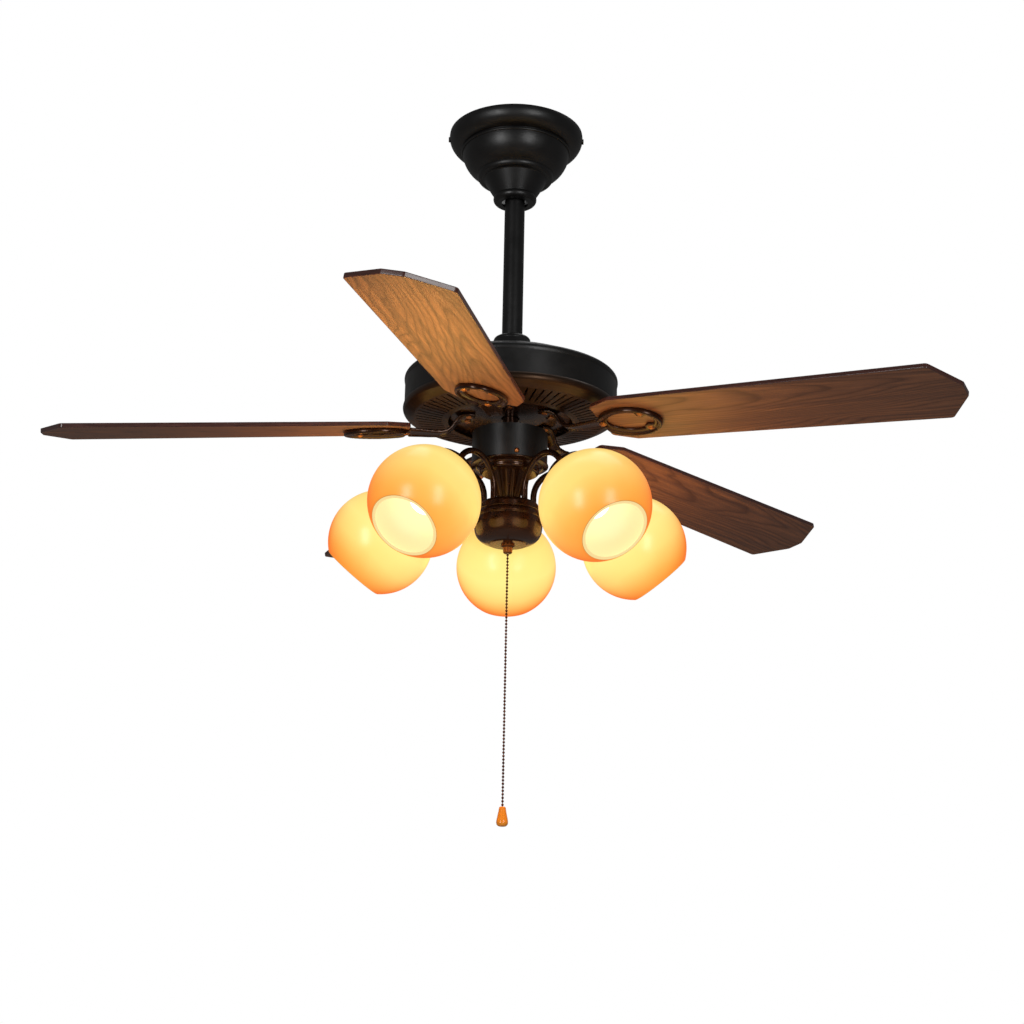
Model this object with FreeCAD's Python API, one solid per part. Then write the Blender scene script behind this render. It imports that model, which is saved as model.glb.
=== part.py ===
"""Five-blade ceiling fan with a five-globe light kit, hung on a short downrod.

Units are millimetres.  +Z is up and the origin is the centre of the hanger bracket's
ceiling face, so the whole fan lies below Z = 0.  Radii are measured from the fan's axis.
Every node is written as one STEP file; a node of identical small pieces is a compound
of separate solids.
"""
import FreeCAD
import Part
import math
import os

from FreeCAD import Placement, Rotation, Vector

# ---------------------------------------------------------------- driving dimensions
BLADE_COUNT = 5
BLADE_TIP_R = 585.0
BLADE_ROOT_R = 130.0
BLADE_TIP_WIDTH = 118.0
BLADE_ROOT_WIDTH = 100.0
BLADE_THICKNESS = 5.5
BLADE_PITCH = 11.0          # degrees, leading edge lower
BLADE_DROOP = 4.0           # degrees below horizontal, set by the irons
BLADE_ROOT_Z = -423.0       # middle of the blade's thickness at its root
BLADE_AZIMUTH = 43.0        # of the first blade

CANOPY_R = 89.0
CANOPY_WALL = 1.6
CANOPY_HOLE_R = 17.5

CANOPY_SCREW_Z = -6.0
EAR_X = 60.0                # inner face of the bracket's ears
BOX_SCREW_SPACING = 88.9    # ceiling outlet box, 3 1/2 in
BOX_SCREW_HOLE_R = 2.75
BALL_Z = -45.0              # centre of the hanger ball, the point the fan rocks about
BALL_R = 28.0
BALL_BORE_R = 14.8
RUNNING_FIT = 0.06

ROD_R = 13.35               # 3/4 in pipe
ROD_BORE_R = 10.5
ROD_TOP_Z = -24.0
ROD_BOTTOM_Z = -330.0
CROSS_PIN_R = 3.0
COUPLING_PIN_Z = -312.0
COUPLING_R = 19.0
COUPLING_BOTTOM_Z = -342.0

HOUSING_R = 136.6
HOUSING_WALL = 1.5
HOUSING_TOP_Z = -321.5
HOUSING_RIM_Z = -354.0
HOUSING_SEAM_Z = -388.0
VENT_COUNT = 72
VENT_WIDTH = 2.6
VENT_OUTER_R = 121.0
VENT_INNER_R = 88.0

SHAFT_R = 10.0
SHAFT_BORE_R = 7.2
SHAFT_BOTTOM_Z = -432.0
ROTOR_R = 92.0
ROTOR_TOP_Z = -345.0
ROTOR_SPLIT_Z = -374.0
ROTOR_BOTTOM_Z = -402.0
STATOR_R = 62.0
AIR_GAP = 0.6
STATOR_TOOTH_COUNT = 12
CORE_TOP_Z = -362.0
CORE_HEIGHT = 24.0

SWITCH_HOUSING_R = 48.2
SWITCH_TOP_Z = -423.0
SWITCH_BOTTOM_Z = -465.0
SWITCH_SCREW_AZIMUTH = 281.0

KIT_CUP_R = 43.0
KIT_CUP_TOP_Z = -518.0
KIT_CUP_SEAM_Z = -551.0
KIT_BOTTOM_Z = -570.0

GLOBE_COUNT = 5
GLOBE_AZIMUTH = 19.0        # of the first globe
GLOBE_R = 67.4
GLOBE_GLASS = 2.8
GLOBE_RING_R = 172.0        # globe centres, from the fan's axis
GLOBE_Z = -555.5
GLOBE_TILT = 47.0           # degrees below horizontal that the mouth faces
GLOBE_MOUTH_R = 41.7
GLOBE_NECK_R = 29.5
ARM_FOOT_R = 33.0
ARM_TUBE_R = 3.9
ARM_BORE_R = 2.9
CAP_R = 33.5

CHAIN_R = 1.6
CHAIN_TOP_Z = -581.0
CHAIN_BOTTOM_Z = -896.0
FOB_R = 7.2
FOB_BOTTOM_Z = -920.0


# ---------------------------------------------------------------- small helpers
def wire_of(points):
    """Open wire in the XZ plane through (radius, z) points; a point given as
    ("arc", (r, z), (r, z)) is a circular arc through its first point to its second."""
    edges = []
    here = None
    for point in points:
        if point[0] == "arc":
            middle = Vector(point[1][0], 0, point[1][1])
            end = Vector(point[2][0], 0, point[2][1])
            edges.append(Part.Arc(here, middle, end).toShape())
        else:
            end = Vector(point[0], 0, point[1])
            if here is not None:
                edges.append(Part.makeLine(here, end))
        here = end
    return Part.Wire(edges)


def turned(points):
    """Solid of revolution about Z from a closed (radius, z) outline."""
    closed = list(points) + [points[0]]
    face = Part.Face(wire_of(closed))
    return face.revolve(Vector(0, 0, 0), Vector(0, 0, 1), 360)


def turned_shell(outline, wall):
    """Revolved sheet whose outer face follows the outline and whose wall lies inside it."""
    band = wire_of(outline).makeOffset2D(-wall, 0, True, True)
    return band.revolve(Vector(0, 0, 0), Vector(0, 0, 1), 360)


def ring(inner_r, outer_r, bottom_z, top_z):
    """Plain turned ring, or a disc when the inner radius is zero."""
    outer = Part.makeCylinder(outer_r, top_z - bottom_z, Vector(0, 0, bottom_z))
    if inner_r <= 0:
        return outer
    return outer.cut(Part.makeCylinder(inner_r, top_z - bottom_z + 2, Vector(0, 0, bottom_z - 1)))


def box(low, high):
    size = [b - a for a, b in zip(low, high)]
    return Part.makeBox(size[0], size[1], size[2], Vector(low[0], low[1], low[2]))


def moved(shape, placement):
    copy = shape.copy()
    copy.Placement = placement.multiply(copy.Placement)
    return copy


def about_z(shape, degrees):
    return moved(shape, Placement(Vector(0, 0, 0), Rotation(Vector(0, 0, 1), degrees)))


def around(shape, count, first=0.0):
    """Copies of a shape evenly spaced about the fan's axis."""
    return [about_z(shape, first + index * 360.0 / count) for index in range(count)]


def bent_path(points, radius):
    """Straight runs in the XZ plane joined by tangent arcs of one radius."""
    corners = [Vector(x, 0, z) for x, z in points]
    edges = []
    here = corners[0]
    for before, corner, after in zip(corners, corners[1:], corners[2:]):
        back = (before - corner).normalize()
        ahead = (after - corner).normalize()
        half = back.getAngle(ahead) / 2
        setback = radius / math.tan(half)
        start = corner + back * setback
        end = corner + ahead * setback
        middle = corner + (back + ahead).normalize() * (radius / math.sin(half) - radius)
        edges.append(Part.makeLine(here, start))
        edges.append(Part.Arc(start, middle, end).toShape())
        here = end
    edges.append(Part.makeLine(here, corners[-1]))
    return Part.Wire(edges)


def swept(path, section):
    return path.makePipeShell([section], True, False)


def save(name, shape):
    """Write one node, after checking that every solid in it is sound."""
    solids = shape.Solids
    if not solids or not all(solid.isValid() and solid.Volume > 0 for solid in solids):
        raise RuntimeError("bad shape: " + name)
    result = solids[0] if len(solids) == 1 else Part.makeCompound(solids)
    result.exportStep("parts/" + name + ".step")
    print(name, len(solids), round(sum(solid.Volume for solid in solids), 1))


def save_group(name, shapes):
    save(name, Part.makeCompound(shapes))


# ---------------------------------------------------------------- ceiling mount
def hanger_bracket():
    """Stamped steel bracket: ceiling plate, two straps and the open socket for the ball."""
    plate = box((-EAR_X - 2.5, -22, -2.5), (EAR_X + 2.5, 22, 0))
    ears = [box((min(x, x + 2.5), -8, -12), (max(x, x + 2.5), 8, 0)) for x in (-EAR_X - 2.5, EAR_X)]
    for side in (-1, 1):
        hole = Part.makeCylinder(BOX_SCREW_HOLE_R, 6, Vector(side * BOX_SCREW_SPACING / 2, 0, -4))
        plate = plate.cut(hole)
    plate = plate.cut(Part.makeCylinder(11, 6, Vector(0, 0, -4)))
    straps = [box((side * 37 - 1.5, -15, -62), (side * 37 + 1.5, 15, -1)) for side in (-1, 1)]
    socket = ring(0, 40, -64, -58)
    tab = box((-2, -28, -64), (2, -20, -56))
    bracket = plate.fuse(straps + ears + [socket]).cut(canopy_screws())
    bracket = bracket.cut(Part.makeSphere(BALL_R + RUNNING_FIT, Vector(0, 0, BALL_Z)))
    bracket = bracket.cut(Part.makeCylinder(19, 20, Vector(0, 0, -75)))
    bracket = bracket.cut(box((-14.8, 0, -70), (14.8, 45, -50)))
    return bracket.fuse(tab).removeSplitter()


def hanger_ball():
    """Ball with flats top and bottom, bored for the rod and grooved for the bracket's tab."""
    ball = Part.makeSphere(BALL_R, Vector(0, 0, BALL_Z))
    ball = ball.common(ring(0, 40, BALL_Z - 24, BALL_Z + 18))
    ball = ball.cut(Part.makeCylinder(BALL_BORE_R, 80, Vector(0, 0, BALL_Z - 40)))
    ball = ball.cut(box((-2.6, -32, BALL_Z - 26), (2.6, -18.5, BALL_Z - 7)))
    pin_hole = Part.makeCylinder(CROSS_PIN_R + RUNNING_FIT, 80, Vector(0, -40, BALL_Z), Vector(0, 1, 0))
    return ball.cut(pin_hole)


def canopy():
    """Bell-shaped cover: rolled flange, beaded waist, round bowl, stepped ring and cone."""
    outline = [(CANOPY_R, 0), ("arc", (CANOPY_R - 1.5, -12), (75, -21.5)), (72, -22.5), (72, -24.5),
               ("arc", (73.6, -26), (71.5, -27.5)), ("arc", (66.5, -43), (52.5, -57)),
               (50.5, -58.5), ("arc", (49.6, -63.5), (43, -65.5)), (41.5, -66.5), (27.4, -90),
               ("arc", (28.6, -95), (24.5, -99.3)), (21, -99.3)]
    shell = turned_shell(outline, CANOPY_WALL)
    return shell.fuse(ring(CANOPY_HOLE_R, 24, -99.3, -97.7)).removeSplitter()


def canopy_screws():
    """Two side screws through the canopy's flange into the bracket's turned-down ears."""
    head = Part.makeCylinder(3.6, 2.0, Vector(CANOPY_R - 0.2, 0, CANOPY_SCREW_Z), Vector(1, 0, 0))
    shank = Part.makeCylinder(1.6, CANOPY_R - EAR_X + 3, Vector(EAR_X - 3, 0, CANOPY_SCREW_Z), Vector(1, 0, 0))
    return around(head.fuse(shank), 2)


# ---------------------------------------------------------------- suspension
def downrod():
    """Steel pipe, cross-drilled near each end for its pins."""
    rod = ring(ROD_BORE_R, ROD_R, ROD_BOTTOM_Z, ROD_TOP_Z)
    for height in (BALL_Z, COUPLING_PIN_Z):
        rod = rod.cut(cross_pin(height, 2 * ROD_R + 10))
    return rod


def cross_pin(height, length):
    return Part.makeCylinder(CROSS_PIN_R, length, Vector(0, -length / 2, height), Vector(0, 1, 0))


def motor_coupling():
    """Collar that clamps the rod's foot and screws onto the motor shaft."""
    collar = ring(ROD_R, COUPLING_R, ROD_BOTTOM_Z, -297)
    flange = ring(ROD_R, 30, HOUSING_TOP_Z - HOUSING_WALL - 4, HOUSING_TOP_Z - HOUSING_WALL)
    neck = ring(SHAFT_R, COUPLING_R, COUPLING_BOTTOM_Z, ROD_BOTTOM_Z)
    body = collar.fuse([flange, neck]).removeSplitter()
    return body.cut(cross_pin(COUPLING_PIN_Z, 2 * COUPLING_R + 10))


def coupling_cover():
    """Small dome that hides the collar above the motor."""
    outline = [(14.3, -291.5), (19, -291.5), ("arc", (23, -293.2), (24, -297)), (26, -308),
               ("arc", (28.6, -314.5), (36, -318.5)), (36, HOUSING_TOP_Z)]
    return turned_shell(outline, 1.2)


# ---------------------------------------------------------------- motor
def motor_housing():
    """Upper shell: shallow dome, beaded shoulder and straight side."""
    outline = [(COUPLING_R + 0.5, HOUSING_TOP_Z), (40, HOUSING_TOP_Z),
               ("arc", (92, -331), (130, -349.5)), ("arc", (HOUSING_R + 0.2, -351), (HOUSING_R + 1, HOUSING_RIM_Z)),
               ("arc", (HOUSING_R + 0.7, -356.5), (HOUSING_R, -358)), (HOUSING_R, HOUSING_SEAM_Z)]
    return turned_shell(outline, HOUSING_WALL)


def housing_base():
    """Trim ring and the dished underside with its fine radial vents."""
    outline = [(HOUSING_R - 3, HOUSING_SEAM_Z), (HOUSING_R, HOUSING_SEAM_Z),
               ("arc", (HOUSING_R + 1.8, HOUSING_SEAM_Z - 4.8), (HOUSING_R, HOUSING_SEAM_Z - 9.6)),
               (HOUSING_R - 4.5, -400), (124, -403.2), (84, -408.4), (80, -408.4)]
    dish = turned_shell(outline, HOUSING_WALL)
    vent = box((VENT_INNER_R, -VENT_WIDTH / 2, -412), (VENT_OUTER_R, VENT_WIDTH / 2, -398))
    return dish.cut(around(vent, VENT_COUNT))


def motor_shaft():
    """Stationary hollow shaft that carries the stator and everything below the blades."""
    return ring(SHAFT_BORE_R, SHAFT_R, SHAFT_BOTTOM_Z, ROD_BOTTOM_Z - 0.5)


def stator_core():
    """Laminated stack: hub, radial teeth and curved pole shoes."""
    bottom = CORE_TOP_Z - CORE_HEIGHT
    hub = ring(SHAFT_R, 32, bottom, CORE_TOP_Z)
    tooth = box((30, -4.5, bottom), (58, 4.5, CORE_TOP_Z))
    shoe_stock = ring(56, STATOR_R, bottom, CORE_TOP_Z)
    shoe = shoe_stock.common(box((50, -11, bottom), (70, 11, CORE_TOP_Z)))
    return hub.fuse(around(tooth.fuse(shoe), STATOR_TOOTH_COUNT)).removeSplitter()


def stator_windings():
    """One copper coil round each tooth."""
    bottom = CORE_TOP_Z - CORE_HEIGHT
    outer = box((40, -8.6, bottom - 4.5), (55, 8.6, CORE_TOP_Z + 4.5))
    coil = outer.cut(box((38, -4.6, bottom - 0.1), (57, 4.6, CORE_TOP_Z + 0.1)))
    return around(coil, STATOR_TOOTH_COUNT)


BEARING_LEVELS = (-355.0, -398.5)
BEARING_HEIGHT = 7.0
BEARING_OUTER_R = 20.0
BALL_PITCH_R = 14.5
BEARING_BALL_R = 2.2


def bearing_groove(level):
    return Part.makeTorus(BALL_PITCH_R, BEARING_BALL_R + RUNNING_FIT, Vector(0, 0, level + BEARING_HEIGHT / 2))


def bearing_races(inner_r, outer_r):
    """The same race at both bearing levels, grooved for the balls."""
    return [ring(inner_r, outer_r, level, level + BEARING_HEIGHT).cut(bearing_groove(level))
            for level in BEARING_LEVELS]


def bearing_balls():
    balls = []
    for level in BEARING_LEVELS:
        centre = Vector(BALL_PITCH_R, 0, level + BEARING_HEIGHT / 2)
        balls += around(Part.makeSphere(BEARING_BALL_R, centre), 9)
    return balls


def rotor_ring():
    """Laminated rotor that surrounds the stator."""
    return ring(STATOR_R + AIR_GAP, 80, CORE_TOP_Z - CORE_HEIGHT, CORE_TOP_Z)


def rotor_upper_shell():
    """Cast end bell with the upper bearing's seat."""
    wall = ring(80, ROTOR_R, ROTOR_SPLIT_Z, ROTOR_TOP_Z - 3)
    top = ring(15, ROTOR_R, ROTOR_TOP_Z - 3, ROTOR_TOP_Z)
    boss = ring(BEARING_OUTER_R, 26, BEARING_LEVELS[0], ROTOR_TOP_Z - 3)
    return wall.fuse([top, boss]).removeSplitter()


def rotor_lower_shell():
    """Cast end bell with the lower bearing's seat; the blade irons screw to its face."""
    wall = ring(80, ROTOR_R, ROTOR_BOTTOM_Z + 3, ROTOR_SPLIT_Z)
    floor = ring(12, 74, ROTOR_BOTTOM_Z, ROTOR_BOTTOM_Z + 3)
    web = ring(74, ROTOR_R, ROTOR_BOTTOM_Z + 3, ROTOR_BOTTOM_Z + 6)
    step = ring(70, 76, ROTOR_BOTTOM_Z, ROTOR_BOTTOM_Z + 6)
    boss = ring(BEARING_OUTER_R, 26, ROTOR_BOTTOM_Z + 3, BEARING_LEVELS[1] + BEARING_HEIGHT)
    shell = wall.fuse([floor, web, step, boss]).removeSplitter()
    return shell.cut(iron_screw_shanks())


# ---------------------------------------------------------------- blades
def blade_placement(azimuth):
    """Blade frame: X outward along the blade, Y across it, Z through its thickness."""
    droop = math.radians(BLADE_DROOP)
    height = BLADE_ROOT_Z + BLADE_ROOT_R * math.sin(droop)
    turn = Rotation(Vector(0, 0, 1), azimuth)
    sag = Rotation(Vector(0, 1, 0), BLADE_DROOP)
    pitch = Rotation(Vector(1, 0, 0), -BLADE_PITCH)
    return Placement(Vector(0, 0, height), turn.multiply(sag).multiply(pitch))


def blade_azimuths():
    return [BLADE_AZIMUTH + index * 360.0 / BLADE_COUNT for index in range(BLADE_COUNT)]


def blade():
    """Flat blade with a clipped root, a slight taper and a three-sided tip."""
    half_tip = BLADE_TIP_WIDTH / 2
    half_root = BLADE_ROOT_WIDTH / 2
    side = [(BLADE_ROOT_R, half_root - 14), (BLADE_ROOT_R + 30, half_root),
            (BLADE_TIP_R - 29, half_tip), (BLADE_TIP_R, 12)]
    corners = side + [(x, -y) for x, y in reversed(side)]
    points = [Vector(x, y, -BLADE_THICKNESS / 2) for x, y in corners]
    face = Part.Face(Part.makePolygon(points + [points[0]]))
    slab = face.extrude(Vector(0, 0, BLADE_THICKNESS))
    upright = [edge for edge in slab.Edges if abs(edge.tangentAt(edge.FirstParameter).z) > 0.99]
    rounded = slab.makeFillet(6, upright)
    rim = [edge for edge in rounded.Edges if abs(edge.BoundBox.ZLength) < 0.01]
    rounded = rounded.makeFillet(0.9, rim)
    return rounded.cut(blade_screw_shanks())


RING_CENTRE_X = BLADE_ROOT_R + 41
RING_LENGTH = 84.0
RING_WIDTH = 64.0
RING_BAND = 9.5
IRON_THICKNESS = 4.0
RING_RIM = 3.0               # how far the ring's outer rim stands below its band
BLADE_SCREW_R = 2.1
BLADE_SCREW_HEAD_R = 4.6


def blade_screw_spots():
    """One screw at the ring's inner end and two just inside the band near its outer end."""
    angle = math.radians(50)
    outer_x = RING_CENTRE_X + (RING_LENGTH / 2 - RING_BAND) * math.cos(angle)
    outer_y = (RING_WIDTH / 2 - RING_BAND) * math.sin(angle)
    inner_x = RING_CENTRE_X - (RING_LENGTH - RING_BAND) / 2
    return [(inner_x, 0), (outer_x, outer_y), (outer_x, -outer_y)]


def blade_screw_shanks():
    bottom = -BLADE_THICKNESS / 2 - IRON_THICKNESS
    return [Part.makeCylinder(BLADE_SCREW_R, IRON_THICKNESS + BLADE_THICKNESS - 1, Vector(x, y, bottom))
            for x, y in blade_screw_spots()]


def blade_screws():
    """Round-headed screws up through the iron into the blade."""
    bottom = -BLADE_THICKNESS / 2 - IRON_THICKNESS
    screws = []
    for (x, y), shank in zip(blade_screw_spots(), blade_screw_shanks()):
        dome = Part.makeSphere(6.0, Vector(x, y, bottom + 3.8))
        cap = dome.common(Part.makeCylinder(BLADE_SCREW_HEAD_R, 2.2, Vector(x, y, bottom - 2.2)))
        screws.append(cap.fuse(shank))
    return screws


def ellipse_disc(length, width, thickness):
    curve = Part.Ellipse(Vector(RING_CENTRE_X, 0, 0), length / 2, width / 2)
    return Part.Face(Part.Wire(curve.toShape())).extrude(Vector(0, 0, thickness))


IRON_ARM_WIDTH = 21.0
IRON_ARM_THICKNESS = 3.4
IRON_FOOT_R = 54.0


def iron_screw_shanks():
    """Screw shafts that hold every iron's foot to the rotor, two to an iron."""
    shanks = []
    for azimuth in blade_azimuths():
        for side in (-1, 1):
            shank = Part.makeCylinder(2.0, 6.2, Vector(IRON_FOOT_R, side * 9, ROTOR_BOTTOM_Z - 3.4))
            shanks.append(about_z(shank, azimuth))
    return shanks


def iron_screws():
    """Round-headed screws up through the irons' feet."""
    screws = []
    for azimuth in blade_azimuths():
        for side in (-1, 1):
            base = Vector(IRON_FOOT_R, side * 9, ROTOR_BOTTOM_Z - 3.4 - 1.9)
            head = Part.makeCylinder(4.2, 1.9, base)
            head = head.makeFillet(1.2, [min(head.Edges, key=lambda edge: edge.CenterOfMass.z)])
            shank = Part.makeCylinder(2.0, 8.1, base)
            screws.append(about_z(head.fuse(shank), azimuth))
    return screws


def blade_iron():
    """Foot, dropped arm and the oval ring that cradles the blade, at azimuth zero."""
    foot = box((44, -15, ROTOR_BOTTOM_Z - 3.4), (66, 15, ROTOR_BOTTOM_Z))
    upright = [edge for edge in foot.Edges if edge.BoundBox.ZLength > 3]
    foot = foot.makeFillet(5, upright)
    level = ROTOR_BOTTOM_Z - IRON_ARM_THICKNESS / 2
    path = bent_path([(54, level), (66, level), (79, -426.6), (123, -426.6)], 7)
    section = Part.makePolygon([Vector(54, y, level + z) for y, z in (
        (-IRON_ARM_WIDTH / 2, -IRON_ARM_THICKNESS / 2), (IRON_ARM_WIDTH / 2, -IRON_ARM_THICKNESS / 2),
        (IRON_ARM_WIDTH / 2, IRON_ARM_THICKNESS / 2), (-IRON_ARM_WIDTH / 2, IRON_ARM_THICKNESS / 2),
        (-IRON_ARM_WIDTH / 2, -IRON_ARM_THICKNESS / 2))])
    arm = swept(path, section)
    top = -BLADE_THICKNESS / 2
    oval = ellipse_disc(RING_LENGTH, RING_WIDTH, IRON_THICKNESS)
    oval = oval.cut(ellipse_disc(RING_LENGTH - 2 * RING_BAND, RING_WIDTH - 2 * RING_BAND, IRON_THICKNESS))
    oval.translate(Vector(0, 0, top - IRON_THICKNESS))
    rim = ellipse_disc(RING_LENGTH, RING_WIDTH, RING_RIM)
    rim = rim.cut(ellipse_disc(RING_LENGTH - RING_BAND, RING_WIDTH - RING_BAND, RING_RIM))
    rim.translate(Vector(0, 0, top - IRON_THICKNESS - RING_RIM))
    tongue = box((112, -IRON_ARM_WIDTH / 2, top - IRON_THICKNESS), (138, IRON_ARM_WIDTH / 2, top))
    neck = box((112, -IRON_ARM_WIDTH / 2, top - IRON_THICKNESS - RING_RIM), (142, IRON_ARM_WIDTH / 2, top))
    bosses = [Part.makeCylinder(7.5, IRON_THICKNESS, Vector(x, y, top - IRON_THICKNESS))
              for x, y in blade_screw_spots()]
    cradle = oval.fuse([rim.cut(neck), tongue] + bosses).cut(blade_screw_shanks())
    iron = moved(cradle, blade_placement(0)).fuse([arm, foot])
    for side in (-1, 1):
        iron = iron.cut(Part.makeCylinder(2.0, 10, Vector(IRON_FOOT_R, side * 9, ROTOR_BOTTOM_Z - 6)))
    return iron.removeSplitter()


# ---------------------------------------------------------------- switch housing
def switch_plate():
    """Disc fixed to the shaft's foot; the switch housing hangs from it."""
    plate = ring(SHAFT_R, SWITCH_HOUSING_R - 1.2, SWITCH_TOP_Z - 2, SWITCH_TOP_Z)
    hub = ring(SHAFT_R, 14, SHAFT_BOTTOM_Z, SWITCH_TOP_Z)
    return plate.fuse(hub).removeSplitter()


def switch_housing():
    side = ring(SWITCH_HOUSING_R - 1.2, SWITCH_HOUSING_R, SWITCH_BOTTOM_Z, SWITCH_TOP_Z)
    return side.cut(switch_screw_shanks())


def switch_screw_shanks():
    shank = Part.makeCylinder(1.6, 8, Vector(SWITCH_HOUSING_R - 8, 0, -459.5), Vector(1, 0, 0))
    return around(shank, 3, SWITCH_SCREW_AZIMUTH)


def switch_housing_screws():
    """Three screws that hold the light kit's pan inside the housing's lower edge."""
    centre = Vector(SWITCH_HOUSING_R - 1.0, 0, -459.5)
    head = Part.makeSphere(3.6, centre).common(box((SWITCH_HOUSING_R, -3.3, -462.8), (60, 3.3, -456.2)))
    shank = Part.makeCylinder(1.6, 8, Vector(SWITCH_HOUSING_R - 8, 0, -459.5), Vector(1, 0, 0))
    recess = Part.makeCylinder(1.3, 4, Vector(SWITCH_HOUSING_R + 1.0, 0, -459.5), Vector(1, 0, 0))
    return around(head.fuse(shank).cut(recess), 3, SWITCH_SCREW_AZIMUTH)


def capacitor():
    """Run capacitor block under the plate."""
    block = box((16, -14, -452), (32, 14, -426))
    return block.makeFillet(1.5, [edge for edge in block.Edges if edge.BoundBox.ZLength > 20])


def lead_wires():
    """Four insulated leads, clear of the cross pins, from the canopy to the switch housing."""
    return [Part.makeCylinder(1.2, 419, Vector(x, y, -438)) for x in (-4.5, 4.5) for y in (-3.2, 3.2)]


# ---------------------------------------------------------------- light kit
def kit_pan():
    """Pan that closes the switch housing and steps down to the column."""
    rim = ring(SWITCH_HOUSING_R - 2.6, SWITCH_HOUSING_R - 1.2, SWITCH_BOTTOM_Z, -455)
    outline = [(SWITCH_HOUSING_R - 4, SWITCH_BOTTOM_Z), (SWITCH_HOUSING_R + 0.6, SWITCH_BOTTOM_Z),
               ("arc", (SWITCH_HOUSING_R + 1.4, -466.1), (SWITCH_HOUSING_R + 0.6, -467.2)), (43, -468.0),
               ("arc", (39, -469.4), (38, -473)), ("arc", (36.8, -476), (34, -477)), (16, -477)]
    pan = turned_shell(outline, 1.4)
    return pan.fuse(rim).cut(switch_screw_shanks()).removeSplitter()


def kit_column():
    """Fluted column, narrowing downward, hollow for the wiring."""
    outline = [(24.7, -477), (14.5, -509), (14.5, -516.5), (10.5, -516.5), (10.5, -509), (18, -477)]
    column = turned(outline)
    slope = Vector(14.5 - 24.7, 0, -509 + 477)
    flute = Part.makeCylinder(6.0, slope.Length + 2, Vector(28.6, 0, -479.0), slope)
    return column.cut(around(flute, 9))


def kit_cup():
    """Grooved upper body that the arms stand in."""
    outline = [(8, -516.5), (30, -516.5), ("arc", (36.5, -517.2), (38.5, KIT_CUP_TOP_Z - 3)), (38.5, -525.5),
               ("arc", (37.7, -526.7), (39.2, -528)), ("arc", (41, -531), (41.2, -535)),
               ("arc", (40.4, -536.4), (41.8, -537.8)), ("arc", (KIT_CUP_R, -543), (42.6, KIT_CUP_SEAM_Z))]
    cup = turned_shell(outline, 1.5)
    foot_hole = Part.makeCylinder(ARM_TUBE_R, 20, Vector(ARM_FOOT_R, 0, -530))
    return cup.cut(around(foot_hole, GLOBE_COUNT, GLOBE_AZIMUTH))


def kit_cap():
    """Round-bottomed cap that closes the cup, with a flat face for the chain outlet."""
    outline = [(42.6, KIT_CUP_SEAM_Z), ("arc", (37.5, -562.5), (24.5, -568.6)), (23.8, KIT_BOTTOM_Z), (5, KIT_BOTTOM_Z)]
    return turned_shell(outline, 1.5)


def chain_outlet():
    """Turned nozzle that guides the chain."""
    outline = [(2.4, KIT_BOTTOM_Z), (8.5, KIT_BOTTOM_Z), (8.5, -572), (6.2, -573.5), (5.7, CHAIN_TOP_Z + 1.2),
               (4.6, CHAIN_TOP_Z), (2.4, CHAIN_TOP_Z)]
    return turned(outline)


SWITCH_CAVITY = (-554.0, -533.0)


def pull_switch():
    """Switch body whose threaded neck passes through the cap."""
    body = Part.makeCylinder(11, 30, Vector(0, 0, -558))
    neck = Part.makeCylinder(5, 12, Vector(0, 0, KIT_BOTTOM_Z))
    body = body.fuse(neck).removeSplitter()
    body = body.cut(ring(0, 6, SWITCH_CAVITY[0], SWITCH_CAVITY[1]))
    return body.cut(Part.makeCylinder(2.2, 30, Vector(0, 0, -575)))


# ---------------------------------------------------------------- arms, shades and lamps
def globe_placement():
    """Globe frame: +Z from the mouth to the neck, origin at the globe's centre."""
    tilt = Rotation(Vector(0, 1, 0), GLOBE_TILT - 90)
    return Placement(Vector(GLOBE_RING_R, 0, GLOBE_Z), tilt)


def at_globes(shape):
    return around(moved(shape, globe_placement()), GLOBE_COUNT, GLOBE_AZIMUTH)


CAP_TOP = 77.0
CAP_BOTTOM = 59.6


def kit_arm():
    """Gooseneck tube: up beside the column, over, and down into the back of a cap."""
    outward = math.cos(math.radians(GLOBE_TILT))
    down = math.sin(math.radians(GLOBE_TILT))
    end = (GLOBE_RING_R - CAP_TOP * outward, GLOBE_Z + CAP_TOP * down)
    centre_z = -505.0
    turn = math.radians(90 + GLOBE_TILT)
    # bend radius for which the arc from vertical ends on the line into the cap
    reach = end[0] - ARM_FOOT_R
    drop = centre_z - end[1]
    bend_r = (reach * down - drop * outward) / ((1 - math.cos(turn)) * down + math.sin(turn) * outward)
    start = Vector(ARM_FOOT_R, 0, -524)
    spring = Vector(ARM_FOOT_R, 0, centre_z)
    middle = Vector(ARM_FOOT_R + bend_r * (1 - math.cos(turn / 2)), 0, centre_z + bend_r * math.sin(turn / 2))
    last = Vector(ARM_FOOT_R + bend_r * (1 - math.cos(turn)), 0, centre_z + bend_r * math.sin(turn))
    path = Part.Wire([Part.makeLine(start, spring), Part.Arc(spring, middle, last).toShape(),
                      Part.makeLine(last, Vector(end[0], 0, end[1]))])
    return swept(path, circle(ARM_TUBE_R, start)).cut(swept(path, circle(ARM_BORE_R, start)))


def circle(radius, centre):
    return Part.Wire(Part.Circle(centre, Vector(0, 0, 1), radius).toShape())


def fitter_cap():
    """Spun cap that takes the globe's neck."""
    outline = [(0.5, CAP_TOP), (8, CAP_TOP), ("arc", (24, CAP_TOP - 2), (30.5, CAP_TOP - 6.5)),
               ("arc", (CAP_R - 0.6, CAP_TOP - 9), (CAP_R, CAP_TOP - 12)), (CAP_R, CAP_BOTTOM)]
    cap = turned_shell(outline, 1.3)
    return cap.cut(Part.makeCylinder(ARM_BORE_R, 10, Vector(0, 0, CAP_TOP - 5))).cut(globe_screw_shanks())


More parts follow.
